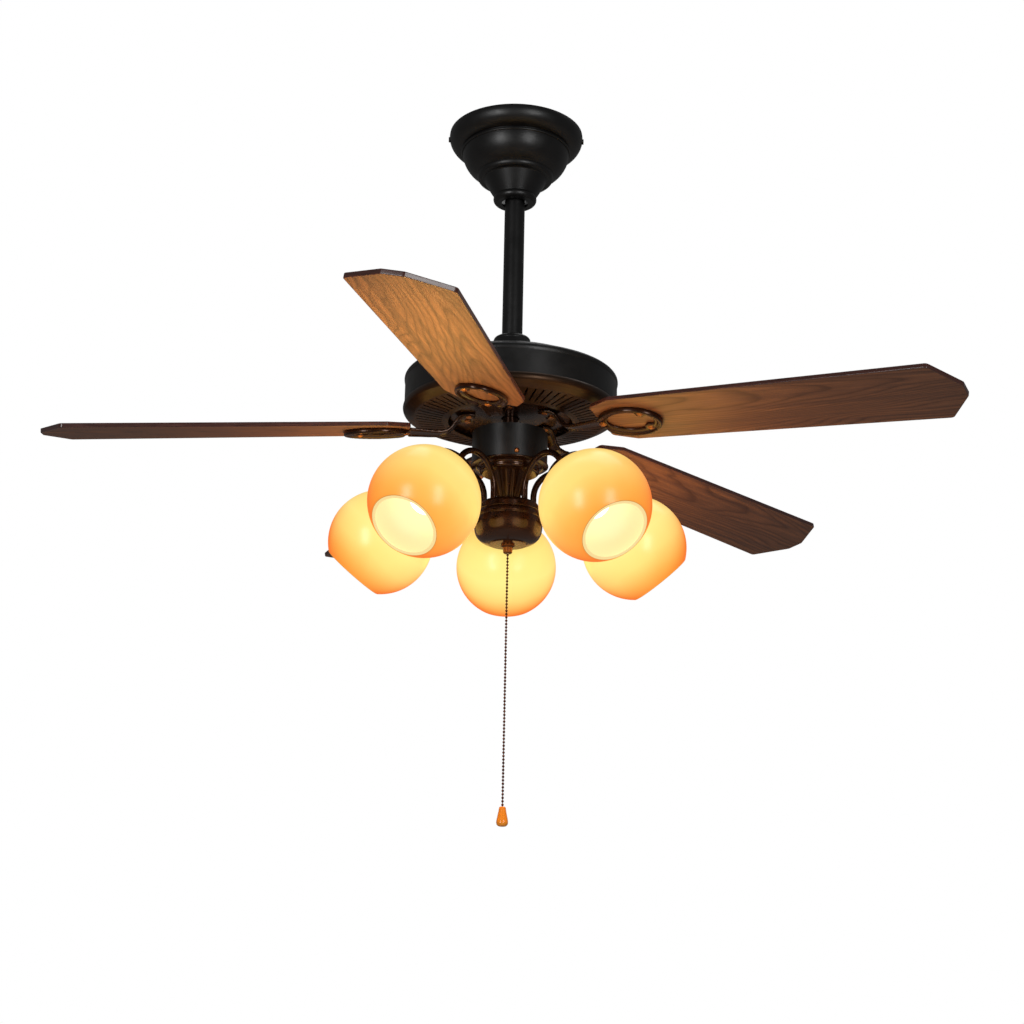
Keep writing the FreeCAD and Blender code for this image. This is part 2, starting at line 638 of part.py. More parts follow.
def globe_screw_shanks():
    shank = Part.makeCylinder(1.5, 3.8, Vector(CAP_R - 3.8, 0, CAP_BOTTOM + 3), Vector(1, 0, 0))
    return around(shank, 3, 60)


def globe_screws():
    """Three knurled thumb screws round one cap."""
    head = Part.makeCylinder(3.2, 4.5, Vector(CAP_R, 0, CAP_BOTTOM + 3), Vector(1, 0, 0))
    shank = Part.makeCylinder(1.5, 3.8, Vector(CAP_R - 3.8, 0, CAP_BOTTOM + 3), Vector(1, 0, 0))
    return around(head.fuse(shank), 3, 60)


def globe():
    """Blown glass ball, cut open at the mouth, with a short collar at the neck."""
    inner_r = GLOBE_R - GLOBE_GLASS
    mouth_h = -math.sqrt(GLOBE_R ** 2 - GLOBE_MOUTH_R ** 2)
    neck_h = math.sqrt(GLOBE_R ** 2 - GLOBE_NECK_R ** 2)
    collar_inner = GLOBE_NECK_R - GLOBE_GLASS
    inner_neck_h = math.sqrt(inner_r ** 2 - collar_inner ** 2)
    inner_mouth_r = math.sqrt(inner_r ** 2 - mouth_h ** 2)
    outline = [(GLOBE_MOUTH_R, mouth_h), ("arc", (GLOBE_R, 0), (GLOBE_NECK_R, neck_h)),
               (GLOBE_NECK_R, CAP_TOP - 10), (collar_inner, CAP_TOP - 10), (collar_inner, inner_neck_h),
               ("arc", (inner_r, 0), (inner_mouth_r, mouth_h))]
    return turned(outline)


def lampholder():
    """Moulded holder screwed to the inside of the cap."""
    outline = [(3.2, CAP_TOP - 1.4), (8, CAP_TOP - 1.4), (17, CAP_TOP - 10), (17, 44), (13.2, 44),
               (13.2, 63), (3.2, 63)]
    return turned(outline)


BULB_R = 22.0


def bulb():
    """Small globe lamp: screw shell and glass envelope."""
    centre_z = 10.0
    lower = BULB_R * math.sin(math.pi / 4)
    outline = [(0, 61), (9, 61), (12.6, 58), (12.6, 44), (13, 40), ("arc", (18.5, 26), (BULB_R, centre_z)),
               ("arc", (lower, centre_z - lower), (0, centre_z - BULB_R))]
    return turned(outline)


# ---------------------------------------------------------------- pull chain
def switch_plunger():
    """Plunger with a flanged head; the chain hooks to its foot."""
    head = Part.makeCylinder(5.2, 2.0, Vector(0, 0, -536))
    rod = Part.makeCylinder(1.5, -536 - CHAIN_TOP_Z, Vector(0, 0, CHAIN_TOP_Z))
    return head.fuse(rod).removeSplitter()


SPRING_WIRE_R = 0.5
SPRING_R = 3.6
SPRING_TURNS = 6


def switch_spring():
    """Coil spring between the plunger's head and the floor of the switch."""
    low = SWITCH_CAVITY[0] + SPRING_WIRE_R
    high = -536 - SPRING_WIRE_R
    pitch = (high - low) / SPRING_TURNS
    helix = Part.makeHelix(pitch, high - low, SPRING_R)
    helix.translate(Vector(0, 0, low))
    section = Part.Wire(Part.Circle(Vector(SPRING_R, 0, low), Vector(0, 1, 0), SPRING_WIRE_R).toShape())
    return Part.Wire(helix).makePipeShell([section], True, True)


def pull_chain():
    """The hanging chain's envelope, from the nozzle's mouth to the fob."""
    return Part.makeCylinder(CHAIN_R, CHAIN_TOP_Z - CHAIN_BOTTOM_Z, Vector(0, 0, CHAIN_BOTTOM_Z))


def fob():
    """Turned teardrop."""
    centre_z = FOB_BOTTOM_Z + FOB_R
    lower = FOB_R * math.sin(math.pi / 4)
    outline = [(0, CHAIN_BOTTOM_Z), (3.4, CHAIN_BOTTOM_Z), (3.9, CHAIN_BOTTOM_Z - 1.5),
               ("arc", (5.4, CHAIN_BOTTOM_Z - 9), (FOB_R, centre_z)),
               ("arc", (lower, centre_z - lower), (0, FOB_BOTTOM_Z))]
    return turned(outline)


# ---------------------------------------------------------------- write the nodes
def main():
    os.makedirs("parts", exist_ok=True)
    save("hanger_bracket", hanger_bracket())
    save("canopy", canopy().cut(canopy_screws()))
    save_group("canopy_screws", canopy_screws())
    save("hanger_ball", hanger_ball())

    save_group("cross_pins", [cross_pin(BALL_Z, 54), cross_pin(COUPLING_PIN_Z, 2 * COUPLING_R + 4)])
    save("downrod", downrod())
    save("motor_coupling", motor_coupling())
    save("coupling_cover", coupling_cover())
    save("motor_housing", motor_housing())
    save("housing_base", housing_base())
    save("motor_shaft", motor_shaft())
    save("stator_core", stator_core())
    save_group("stator_windings", stator_windings())
    save_group("bearing_inner_races", bearing_races(SHAFT_R, 13.3))
    save_group("lead_wires", lead_wires())
    save("switch_plate", switch_plate())
    save("switch_housing", switch_housing())
    save_group("switch_housing_screws", switch_housing_screws())
    save("capacitor", capacitor())
    save("kit_pan", kit_pan())
    save("kit_column", kit_column())
    save("kit_cup", kit_cup())
    save("kit_cap", kit_cap())
    save("chain_outlet", chain_outlet())
    save("pull_switch", pull_switch())

    save_group("fitter_caps", at_globes(fitter_cap()))
    save_group("lampholders", at_globes(lampholder()))
    save_group("bulbs", at_globes(bulb()))
    save_group("globe_screws", at_globes(Part.makeCompound(globe_screws())))
    for number, shape in enumerate(around(kit_arm(), GLOBE_COUNT, GLOBE_AZIMUTH), 1):
        save("kit_arm_%d" % number, shape)
    for number, shape in enumerate(at_globes(globe()), 1):
        save("globe_%d" % number, shape)

    save("rotor_ring", rotor_ring())
    save("rotor_upper_shell", rotor_upper_shell())
    save("rotor_lower_shell", rotor_lower_shell())
    save_group("bearing_outer_races", bearing_races(15.7, BEARING_OUTER_R))
    save_group("bearing_balls", bearing_balls())
    save_group("iron_screws", iron_screws())
    screws = []
    one_blade = blade()
    one_iron = blade_iron()
    for number, azimuth in enumerate(blade_azimuths(), 1):
        placement = blade_placement(azimuth)
        save("blade_%d" % number, moved(one_blade, placement))
        save("blade_iron_%d" % number, about_z(one_iron, azimuth))
        screws += [moved(screw, placement) for screw in blade_screws()]
    save_group("blade_screws", screws)

    save("switch_plunger", switch_plunger())
    save("switch_spring", switch_spring())
    save("pull_chain", pull_chain())
    save("fob", fob())


main()
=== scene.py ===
"""Looks of a five-blade ceiling fan with a five-globe light kit.

Metres, +Z up, with the origin at the middle of the hanger bracket's ceiling face.
"""

import math

import bmesh
import bpy
from mathutils import Matrix, Vector


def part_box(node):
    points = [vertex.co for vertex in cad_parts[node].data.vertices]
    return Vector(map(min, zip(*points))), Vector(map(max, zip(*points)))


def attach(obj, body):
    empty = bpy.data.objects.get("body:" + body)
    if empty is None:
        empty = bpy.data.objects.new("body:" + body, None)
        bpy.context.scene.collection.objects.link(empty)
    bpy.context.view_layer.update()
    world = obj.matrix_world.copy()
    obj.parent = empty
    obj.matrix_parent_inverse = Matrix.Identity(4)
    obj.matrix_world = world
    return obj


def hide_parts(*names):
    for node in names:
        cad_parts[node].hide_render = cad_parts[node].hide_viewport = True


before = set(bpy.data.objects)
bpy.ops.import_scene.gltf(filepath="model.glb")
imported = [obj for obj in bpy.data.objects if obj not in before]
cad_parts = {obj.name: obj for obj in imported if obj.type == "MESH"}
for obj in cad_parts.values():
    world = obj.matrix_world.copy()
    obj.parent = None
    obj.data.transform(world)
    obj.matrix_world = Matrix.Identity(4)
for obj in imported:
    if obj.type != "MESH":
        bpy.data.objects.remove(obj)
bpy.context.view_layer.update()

MM = 0.001

# ---------------------------------------------------------------- design values shared with the CAD model
BLADE_COUNT = 5
BLADE_FIRST = 43.0            # azimuth of blade 1, degrees
BLADE_PITCH = 11.0
BLADE_DROOP = 4.0
BLADE_ROOT_R = 130 * MM
BLADE_TIP_R = 585 * MM
BLADE_ROOT_Z = -423 * MM
BLADE_THICKNESS = 5.5 * MM
RING_CENTRE = 171 * MM        # of the iron's oval ring, along the blade
RING_HALF_LENGTH = 42 * MM
RING_HALF_WIDTH = 32 * MM

GLOBE_COUNT = 5
GLOBE_FIRST = 19.0
GLOBE_RING_R = 172 * MM
GLOBE_Z = -555.5 * MM
GLOBE_TILT = 47.0             # degrees below horizontal that the mouth faces
GLOBE_R = 67.4 * MM
GLOBE_GLASS = 2.8 * MM
GLOBE_MOUTH_R = 41.7 * MM
GLOBE_NECK_R = 29.5 * MM
GLOBE_NECK_END = 67 * MM


# ---------------------------------------------------------------- placing
def turn(degrees, axis):
    return Matrix.Rotation(math.radians(degrees), 4, axis)


def blade_matrix(azimuth):
    """Blade frame: X outward along the blade, Y across it, Z through its thickness."""
    height = BLADE_ROOT_Z + BLADE_ROOT_R * math.sin(math.radians(BLADE_DROOP))
    return (Matrix.Translation((0, 0, height)) @ turn(azimuth, "Z")
            @ turn(BLADE_DROOP, "Y") @ turn(-BLADE_PITCH, "X"))


def globe_matrix(azimuth):
    """Globe frame: origin at the globe's centre, +Z from the mouth to the neck."""
    return (turn(azimuth, "Z") @ Matrix.Translation((GLOBE_RING_R, 0, GLOBE_Z))
            @ turn(GLOBE_TILT - 90, "Y"))


def blade_azimuths():
    return [BLADE_FIRST + index * 360 / BLADE_COUNT for index in range(BLADE_COUNT)]


def globe_azimuths():
    return [GLOBE_FIRST + index * 360 / GLOBE_COUNT for index in range(GLOBE_COUNT)]


# ---------------------------------------------------------------- camera
SENSOR_WIDTH = 36.0           # mm
LENS = 60.35                  # mm
CAMERA_PLACE = (0.0168, -2.0865, -1.1248)
CAMERA_HEADING = -0.34        # degrees from +Y towards +X
CAMERA_CLIMB = 16.0
CAMERA_ROLL = 1.15


def aim(thing, place, target, roll=0.0):
    """Put a camera or light at a place, facing a target."""
    forward = (Vector(target) - Vector(place)).normalized()
    facing = forward.to_track_quat("-Z", "Y").to_matrix().to_4x4()
    thing.matrix_world = Matrix.Translation(place) @ facing @ turn(roll, "Z")


def add_camera():
    data = bpy.data.cameras.new("camera")
    data.sensor_width = SENSOR_WIDTH
    data.lens = LENS
    camera = bpy.data.objects.new("camera", data)
    bpy.context.collection.objects.link(camera)
    heading = math.radians(CAMERA_HEADING)
    climb = math.radians(CAMERA_CLIMB)
    level = math.cos(climb)
    forward = Vector((math.sin(heading) * level, math.cos(heading) * level, math.sin(climb)))
    place = Vector(CAMERA_PLACE)
    aim(camera, place, place + forward, roll=CAMERA_ROLL)
    bpy.context.scene.camera = camera


# ---------------------------------------------------------------- material nodes
class Finish:
    """A material's node tree while it is being built."""

    def __init__(self, name):
        self.material = bpy.data.materials.new(name)
        self.material.use_nodes = True
        self.tree = self.material.node_tree
        self.shader = self.tree.nodes["Principled BSDF"]

    def add(self, kind, settings=(), **inputs):
        """New node; inputs are sockets to link from or plain values, with _ for a space."""
        made = self.tree.nodes.new("ShaderNode" + kind)
        for key, value in dict(settings).items():
            setattr(made, key, value)
        for key, value in inputs.items():
            self.feed(made.inputs[key.replace("_", " ")], value)
        return made

    def feed(self, socket, value):
        if isinstance(value, bpy.types.NodeSocket):
            self.tree.links.new(value, socket)
        else:
            socket.default_value = value

    def set(self, **inputs):
        for key, value in inputs.items():
            self.feed(self.shader.inputs[key.replace("_", " ")], value)

    def place(self):
        """Position on the piece, in metres, fixed to the piece."""
        return self.add("TexCoord").outputs["Object"]

    def own_place(self):
        """Position in the piece's own frame, which new_piece stores as a mesh attribute."""
        return self.add("Attribute", {"attribute_name": "own"}).outputs["Vector"]

    def stretch(self, vector, x, y, z):
        return self.add("Mapping", Vector=vector, Scale=(x, y, z)).outputs["Vector"]

    def noise(self, vector, scale, detail=2.0, roughness=0.5):
        made = self.add("TexNoise", Vector=vector, Scale=scale, Detail=detail, Roughness=roughness)
        return made.outputs["Fac"]

    def math(self, operation, first, second=0.0):
        made = self.tree.nodes.new("ShaderNodeMath")
        made.operation = operation
        self.feed(made.inputs[0], first)
        self.feed(made.inputs[1], second)
        return made.outputs[0]

    def between(self, value, low, high, from_low=0.3, from_high=0.7):
        made = self.add("MapRange", Value=value, From_Min=from_low, From_Max=from_high, To_Min=low, To_Max=high)
        return made.outputs["Result"]

    def ramp(self, value, stops):
        made = self.add("ValToRGB", Fac=value)
        elements = made.color_ramp.elements
        while len(elements) < len(stops):
            elements.new(0.5)
        for element, (position, colour) in zip(elements, stops):
            element.position = position
            element.color = (*colour, 1.0)
        return made.outputs["Color"]

    def blend(self, factor, first, second, mode="MIX"):
        made = self.tree.nodes.new("ShaderNodeMix")
        made.data_type = "RGBA"
        made.blend_type = mode
        self.feed(made.inputs[0], factor)
        for socket, value in ((made.inputs[6], first), (made.inputs[7], second)):
            self.feed(socket, value if isinstance(value, bpy.types.NodeSocket) else (*value, 1.0))
        return made.outputs[2]

    def bump(self, height, strength, distance):
        made = self.add("Bump", Height=height, Strength=strength, Distance=distance)
        return made.outputs["Normal"]


def painted_metal(name, colour, roughness, grain, bump, coat=0.0, lamp_reflection_tint=(1.0, 1.0, 1.0)):
    """Stoved paint on metal: fine orange peel and faint blotches; the tint colours what it reflects, and an
    orange tint paints in warm reflections of the globes' light.
    """
    finish = Finish(name)
    place = finish.place()
    peel = finish.noise(place, grain, 3)
    blotch = finish.noise(place, 22, 4)
    lighter = tuple(1.6 * channel for channel in colour)
    base = finish.blend(finish.between(blotch, 0, 1), colour, lighter)
    finish.set(Base_Color=base,
               Roughness=finish.between(finish.noise(place, 60, 4), roughness - 0.05, roughness + 0.06),
               Coat_Weight=coat, Coat_Roughness=0.12, Specular_Tint=(*lamp_reflection_tint, 1), Coat_Tint=(*lamp_reflection_tint, 1),
               Normal=finish.bump(peel, bump, 0.0003))
    return finish.material


def bare_metal(name, colour, roughness, grain=400):
    """Plated or bare metal with faint scratches."""
    finish = Finish(name)
    place = finish.place()
    scratch = finish.noise(finish.stretch(place, 1, 1, 0.12), grain, 3)
    patch = finish.noise(place, 40, 3)
    darker = tuple(0.62 * channel for channel in colour)
    finish.set(Base_Color=finish.blend(finish.between(patch, 0, 1), darker, colour), Metallic=1.0,
               Roughness=finish.between(scratch, roughness - 0.07, roughness + 0.12),
               Normal=finish.bump(scratch, 0.15, 0.0002))
    return finish.material


def plain_plastic(name, colour, roughness):
    """Moulded plastic with a faint texture."""
    finish = Finish(name)
    place = finish.place()
    texture = finish.noise(place, 500, 2)
    lighter = tuple(min(1.0, 1.25 * channel + 0.004) for channel in colour)
    finish.set(Base_Color=finish.blend(finish.between(finish.noise(place, 30, 3), 0, 1), colour, lighter),
               Roughness=finish.between(texture, roughness - 0.05, roughness + 0.08),
               Normal=finish.bump(texture, 0.2, 0.0002))
    return finish.material


GROWTH_RINGS = 150.0          # per metre across the grain
RING_RUN = 0.075              # how far the rings drift across the blade for each metre along it


def walnut():
    """Lacquered walnut veneer: arched growth rings, fine pores and slow colour change."""
    finish = Finish("walnut_veneer")
    grain = finish.own_place()
    split = finish.add("SeparateXYZ", Vector=grain)
    along, across = split.outputs["X"], split.outputs["Y"]
    drift = finish.noise(finish.stretch(grain, 2.6, 9, 1), 1.0, 2)
    ripple = finish.noise(finish.stretch(grain, 9, 60, 1), 1.0, 3)
    shift = finish.math("MULTIPLY", finish.math("SUBTRACT", drift, 0.5), 0.110)
    fine = finish.math("MULTIPLY", finish.math("SUBTRACT", ripple, 0.5), 0.010)
    centre = finish.math("ADD", finish.math("ADD", across, shift), fine)
    arch = finish.math("SQRT", finish.math("ADD", finish.math("MULTIPLY", centre, centre), 0.00016))
    rings = finish.math("ADD", arch, finish.math("MULTIPLY", along, RING_RUN))
    phase = finish.math("FRACT", finish.math("MULTIPLY", rings, GROWTH_RINGS))
    late = finish.ramp(phase, [(0.0, (0.35, 0.35, 0.35)), (0.35, (0.0, 0.0, 0.0)), (0.72, (0.35, 0.35, 0.35)),
                               (0.93, (1.0, 1.0, 1.0)), (1.0, (0.5, 0.5, 0.5))])
    pores = finish.noise(finish.stretch(grain, 28, 1500, 1), 1.0, 3, 0.6)
    fleck = finish.between(pores, 0, 1, 0.50, 0.66)
    streak = finish.noise(finish.stretch(grain, 3, 140, 1), 1.0, 3)
    tone = finish.ramp(streak, [(0.30, (0.090, 0.038, 0.021)), (0.5, (0.138, 0.059, 0.031)),
                                (0.72, (0.205, 0.090, 0.045))])
    ringed = finish.blend(finish.math("MULTIPLY", late, 0.80), tone, (0.045, 0.0145, 0.006))
    base = finish.blend(finish.math("MULTIPLY", fleck, 0.5), ringed, (0.020, 0.009, 0.005))
    relief = finish.math("ADD", finish.math("MULTIPLY", late, 0.5), fleck)
    finish.set(Base_Color=base, Roughness=finish.between(streak, 0.42, 0.56), Coat_Weight=0.06,
               Coat_Roughness=0.28, Normal=finish.bump(relief, -0.12, 0.0003))
    return finish.material


def edge_band():
    """Dark lacquered edge of a blade."""
    finish = Finish("walnut_edge")
    grain = finish.own_place()
    streak = finish.noise(finish.stretch(grain, 40, 40, 900), 1.0, 3)
    base = finish.ramp(streak, [(0.3, (0.030, 0.010, 0.008)), (0.7, (0.075, 0.022, 0.015))])
    finish.set(Base_Color=base, Roughness=finish.between(streak, 0.22, 0.36), Coat_Weight=0.4,
               Coat_Roughness=0.15, Normal=finish.bump(streak, 0.1, 0.0002))
    return finish.material


# Painted glow of the bulb's light through the glass: emission colours on the way from the mouth, 0, to the
# neck, 1.
OUTSIDE_GLOW = [(0.00, (1.0, 0.40, 0.050)), (0.12, (1.0, 0.54, 0.100)), (0.32, (1.0, 0.80, 0.22)),
                (0.56, (1.0, 0.91, 0.29)), (0.80, (1.0, 0.87, 0.26)), (1.00, (1.0, 0.62, 0.12))]
INSIDE_GLOW = [(0.0, (1.0, 0.76, 0.34)), (1.0, (1.0, 0.84, 0.46))]
RIM_GLOW = [(0.0, (0.80, 0.33, 0.06)), (1.0, (0.80, 0.33, 0.06))]
# Deeper orange of the painted glow where the wall turns away near the mouth.
LIMB_GLOW_COLOUR = (1.0, 0.19, 0.004)


def lit_glass(name, stops, strength, limb, base, roughness):
    """Opal amber glass with the bulb's light through it painted on as glow: the glow's colour follows the way
    from mouth to neck, and limb sets how much deeper the painted glow is where the wall turns away near the
    mouth."""
    finish = Finish(name)
    place = finish.own_place()
    height = finish.add("SeparateXYZ", Vector=place).outputs["Z"]
    cloud = finish.noise(place, 16, 3)
    way = finish.between(height, 0, 1, -54 * MM, 66 * MM)
    way = finish.math("ADD", way, finish.math("MULTIPLY", finish.math("SUBTRACT", cloud, 0.5), 0.12))
    glow = finish.ramp(way, stops)
    facing = finish.add("LayerWeight", Blend=0.36).outputs["Facing"]
    near_mouth = finish.between(way, limb, 0.22 * limb, 0.02, 0.55)
    deep = finish.math("MULTIPLY", finish.math("POWER", facing, 1.35), near_mouth)
    colour = finish.blend(deep, glow, LIMB_GLOW_COLOUR)
    finish.set(Base_Color=(*base, 1), Roughness=roughness, Emission_Color=colour,
               Emission_Strength=strength, Coat_Weight=0.15, Coat_Roughness=0.22,
               Normal=finish.bump(finish.noise(place, 45, 2), 0.05, 0.0006))
    return finish.material


def glowing(name, colour, strength):
    """Frosted lamp glass at full brightness."""
    finish = Finish(name)
    cloud = finish.noise(finish.place(), 60, 2)
    finish.set(Base_Color=(0.9, 0.88, 0.82, 1), Roughness=0.35, Emission_Strength=strength,
               Emission_Color=finish.blend(finish.between(cloud, 0, 1), colour, (1.0, 0.97, 0.88)))
    return finish.material


MATERIALS = {}


def make_materials():
    MATERIALS.update(
        satin=painted_metal("satin_black_paint", (0.0024, 0.0022, 0.0022), 0.36, 1500, 0.22),
        # The satin black paint again for the housing's base, made browner with orange-tinted reflections:
        # painted warm light of the globes on its underside.
        warm=painted_metal("satin_black_paint_lamp_lit", (0.0060, 0.0030, 0.0018), 0.34, 1500, 0.18,
                           lamp_reflection_tint=(1.0, 0.60, 0.38)),
        # Black enamel, slightly brown, whose orange reflection tint is painted warm reflection of the globes'
        # light.
        gloss=painted_metal("gloss_black_enamel", (0.0036, 0.0018, 0.0011), 0.24, 500, 0.10,
                            coat=0.4, lamp_reflection_tint=(1.0, 0.56, 0.34)),
        steel=bare_metal("zinc_plated_steel", (0.62, 0.61, 0.58), 0.34),
        cast=bare_metal("die_cast_alloy", (0.42, 0.41, 0.39), 0.48, 250),
        laminations=bare_metal("lamination_steel", (0.30, 0.29, 0.28), 0.45),
        copper=bare_metal("winding_copper", (0.78, 0.32, 0.16), 0.30, 900),
        bronze=bare_metal("antique_bronze", (0.55, 0.21, 0.075), 0.30),
        nozzle=bare_metal("bronze_nozzle", (0.30, 0.105, 0.035), 0.30),
        black_plastic=plain_plastic("black_plastic", (0.012, 0.012, 0.013), 0.45),
        nylon=plain_plastic("dark_nylon", (0.030, 0.030, 0.032), 0.42),
        wire=plain_plastic("wire_insulation", (0.02, 0.02, 0.022), 0.40),
        chain=bare_metal("dark_antique_chain", (0.155, 0.050, 0.028), 0.33, 900),
        fob=plain_plastic("amber_fob", (0.86, 0.26, 0.016), 0.16),
        veneer=walnut(),
        band=edge_band(),
        lamp=glowing("lamp_glass", (1.0, 0.93, 0.74), 3.2),
        glass_outside=lit_glass("amber_glass_outside", OUTSIDE_GLOW, strength=0.95, limb=1.9,
                                base=(0.10, 0.05, 0.012), roughness=0.30),
        glass_inside=lit_glass("amber_glass_inside", INSIDE_GLOW, strength=0.93, limb=0.0,
                               base=(0.02, 0.015, 0.005), roughness=0.35),
        glass_rim=lit_glass("amber_glass_rim", RIM_GLOW, strength=0.80, limb=0.0,
                            base=(0.08, 0.03, 0.01), roughness=0.30),
    )


NODE_FINISH = {
    "satin": ["canopy", "canopy_screws", "downrod", "coupling_cover", "motor_housing", "switch_housing"],
    # The housing's base takes the copy of the satin paint with painted warm light from the globes.
    "warm": ["housing_base"],
    "gloss": ["motor_shaft", "switch_plate", "rotor_lower_shell", "kit_pan", "kit_column", "kit_cup",
              "kit_cap", "fitter_caps", "globe_screws"]
             + ["kit_arm_%d" % (index + 1) for index in range(GLOBE_COUNT)],
    "steel": ["hanger_bracket", "cross_pins", "motor_coupling", "bearing_inner_races",
              "bearing_outer_races", "bearing_balls", "switch_plunger", "switch_spring"],
    "cast": ["rotor_upper_shell"],
    "laminations": ["stator_core", "rotor_ring"],
    "copper": ["stator_windings"],
    "bronze": ["switch_housing_screws", "blade_screws", "iron_screws"],
    "nozzle": ["chain_outlet"],
    "black_plastic": ["capacitor", "pull_switch", "lampholders"],
    "nylon": ["hanger_ball"],
    "wire": ["lead_wires"],
    "lamp": ["bulbs"],
}


def dress_nodes():
    """Give every CAD node that stays visible its finish."""
    for finish, names in NODE_FINISH.items():
        for name in names:
            node = bpy.data.objects[name]
            node.data.materials.clear()
            node.data.materials.append(MATERIALS[finish])


# ---------------------------------------------------------------- mesh helpers
def new_piece(name, mesh_builder, materials, matrix=Matrix(), shift=Vector()):
    """Object from a bmesh in the piece's own frame, shaded smooth and then put in place.

    The mesh keeps its own-frame positions, plus a shift, as the attribute "own", for the materials."""
    data = bpy.data.meshes.new(name)
    mesh_builder.to_mesh(data)
    mesh_builder.free()
    for key in materials:
        data.materials.append(MATERIALS[key])
    layer = data.attributes.new("own", "FLOAT_VECTOR", "POINT")
    for vertex in data.vertices:
        layer.data[vertex.index].vector = vertex.co + shift
    data.transform(matrix)
    for polygon in data.polygons:
        polygon.use_smooth = True
    piece = bpy.data.objects.new(name, data)
    bpy.context.collection.objects.link(piece)
    return piece


def arc(centre, radius, start, end, count):
    """Points (r, z) on a circle between two angles in degrees."""
    angles = [math.radians(start + (end - start) * step / count) for step in range(count + 1)]
    return [(centre[0] + radius * math.cos(angle), centre[1] + radius * math.sin(angle)) for angle in angles]


def lathe(profile, segments, closed=False, finishes=None):
    """Surface of revolution of (r, z) points; finishes gives each band's material index."""
    built = bmesh.new()
    rings = []
    for radius, height in profile:
        if radius < 1e-7:
            rings.append([built.verts.new((0, 0, height))])
            continue
        angles = [2 * math.pi * step / segments for step in range(segments)]
        rings.append([built.verts.new((radius * math.cos(a), radius * math.sin(a), height)) for a in angles])
    pairs = list(zip(rings, rings[1:])) + ([(rings[-1], rings[0])] if closed else [])
    for band, (low, high) in enumerate(pairs):
        for step in range(segments):
            after = (step + 1) % segments
            corners = [low[step % len(low)], low[after % len(low)],
                       high[after % len(high)], high[step % len(high)]]
            unique = list(dict.fromkeys(corners))
            face = built.faces.new(unique)
            if finishes:
                face.material_index = finishes[band]
    bmesh.ops.recalc_face_normals(built, faces=built.faces)
    return built


# ---------------------------------------------------------------- globes
def globe_profile():
    """Closed section of the glass, outside first; returns points and each band's material."""
    outer, inner = GLOBE_R, GLOBE_R - GLOBE_GLASS
    mouth_angle = -math.degrees(math.acos(GLOBE_MOUTH_R / outer))
    neck_angle = math.degrees(math.acos(GLOBE_NECK_R / outer))
    mouth_z = outer * math.sin(math.radians(mouth_angle))
    outside = arc((0, 0), outer, mouth_angle + 0.6, neck_angle, 44)
    collar = [(GLOBE_NECK_R, GLOBE_NECK_END), (GLOBE_NECK_R - GLOBE_GLASS, GLOBE_NECK_END)]
    inner_neck = math.degrees(math.acos((GLOBE_NECK_R - GLOBE_GLASS) / inner))
    inner_mouth = math.degrees(math.asin(mouth_z / inner))
    inside = arc((0, 0), inner, inner_neck, inner_mouth + 0.6, 44)
    rim_out, rim_in = outside[0], inside[-1]
    rim = [(rim_in[0] + 0.1 * MM, mouth_z + 0.25 * MM), (rim_in[0] + 0.6 * MM, mouth_z),
           (rim_out[0] - 0.8 * MM, mouth_z), (rim_out[0] - 0.15 * MM, mouth_z + 0.2 * MM)]
    points = outside + collar + inside + rim
    finishes = [0] * (len(outside) + 1) + [1] * (len(inside) + 3)
    finishes += [2] * (len(points) - len(finishes))
    return points, finishes


def add_globes():
    for number, azimuth in enumerate(globe_azimuths(), 1):
        points, finishes = globe_profile()
        built = lathe(points, 112, closed=True, finishes=finishes)
        globe = new_piece("glass_globe_%d" % number, built, ["glass_outside", "glass_inside", "glass_rim"],
                          globe_matrix(azimuth))
        globe.visible_shadow = False
        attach(globe, "suspension")
        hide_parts("globe_%d" % number)


# ---------------------------------------------------------------- blades
def rounded_outline(corners, radius, count=5):
    """Closed outline through the corners, each rounded with a tangent arc."""
    points = []
    for index, corner in enumerate(corners):
        here = Vector(corner)
        back = (Vector(corners[index - 1]) - here).normalized()
        ahead = (Vector(corners[(index + 1) % len(corners)]) - here).normalized()
        half = back.angle(ahead) / 2
        start = here + back * radius / math.tan(half)
        end = here + ahead * radius / math.tan(half)
        centre = here + (back + ahead).normalized() * radius / math.sin(half)
        for step in range(count + 1):
            chord = start.lerp(end, step / count) - centre
            points.append(centre + chord.normalized() * radius)
    return points


def blade_outline():
    side = [(BLADE_ROOT_R, 36 * MM), (BLADE_ROOT_R + 30 * MM, 50 * MM),
            (BLADE_TIP_R - 29 * MM, 59 * MM), (BLADE_TIP_R, 12 * MM)]
    return rounded_outline(side + [(x, -y) for x, y in reversed(side)], 6 * MM)


def build_blade():
    """Slab with softened arrises: face, chamfer and edge rings share one outline."""
    outline = blade_outline()
    half = BLADE_THICKNESS / 2
    centre = Vector((sum(p.x for p in outline) / len(outline), 0))
    steps = [(0.9 * MM, half), (0.35 * MM, half - 0.12 * MM), (0.1 * MM, half - 0.35 * MM),
             (0.0, half - 0.9 * MM)]
    levels = steps + [(inset, -z) for inset, z in reversed(steps)]
    built = bmesh.new()
    rings = []
    for inset, z in levels:
        ring = []
        for index, point in enumerate(outline):
            tangent = (outline[(index + 1) % len(outline)] - outline[index - 1]).normalized()
            inward = Vector((tangent.y, -tangent.x))
            if inward.dot(centre - point) < 0:
                inward = -inward
            moved = point + inward * inset
            ring.append(built.verts.new((moved.x, moved.y, z)))
        rings.append(ring)
    for low, high in zip(rings, rings[1:]):
        for index in range(len(outline)):
            after = (index + 1) % len(outline)
            face = built.faces.new([low[index], low[after], high[after], high[index]])
            face.material_index = 1
    for ring in (rings[0], rings[-1]):
        built.faces.new(ring).material_index = 0
    bmesh.ops.recalc_face_normals(built, faces=built.faces)
    return built


